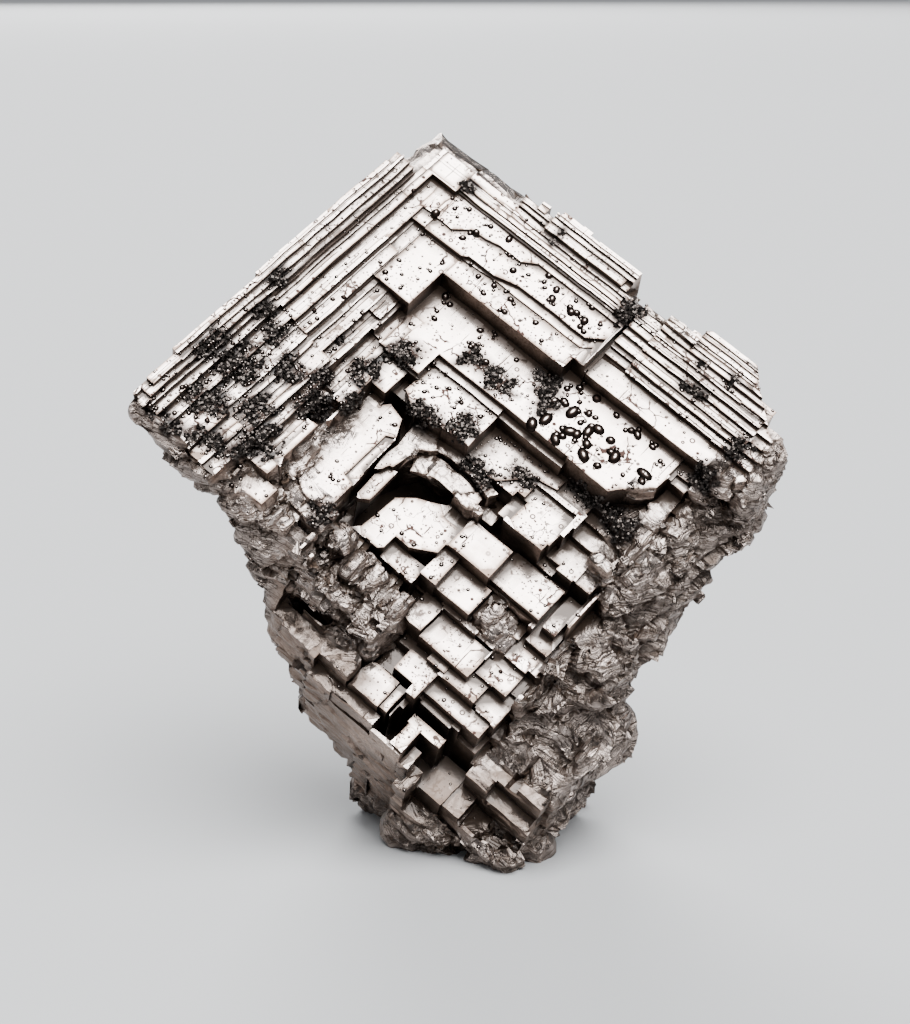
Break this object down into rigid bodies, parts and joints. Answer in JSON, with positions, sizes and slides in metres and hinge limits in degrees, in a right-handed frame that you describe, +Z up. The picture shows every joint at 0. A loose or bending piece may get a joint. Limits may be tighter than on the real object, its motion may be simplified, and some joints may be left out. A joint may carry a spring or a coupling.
{
  "type": "native bismuth crystal group",
  "caption": "Skeletal native bismuth: hopper crystals grown together in parallel, stepping down from raised rims into a hollow, on a broken foot.",
  "frame": {"origin": "middle of the bounding box, at the level of the broken foot the group stands on", "axes": "+Z up, as the group stands; the stepped crystal faces look towards -Y and upwards"},
  "size_m": [0.0262, 0.0128, 0.0292],
  "materials": {
    "native_metal": "bright native metal, silver with a faint pink-brown tarnish"
  },
  "bodies": {
    "root": {"bismuth": "native_metal"}
  },
  "joints": []
}
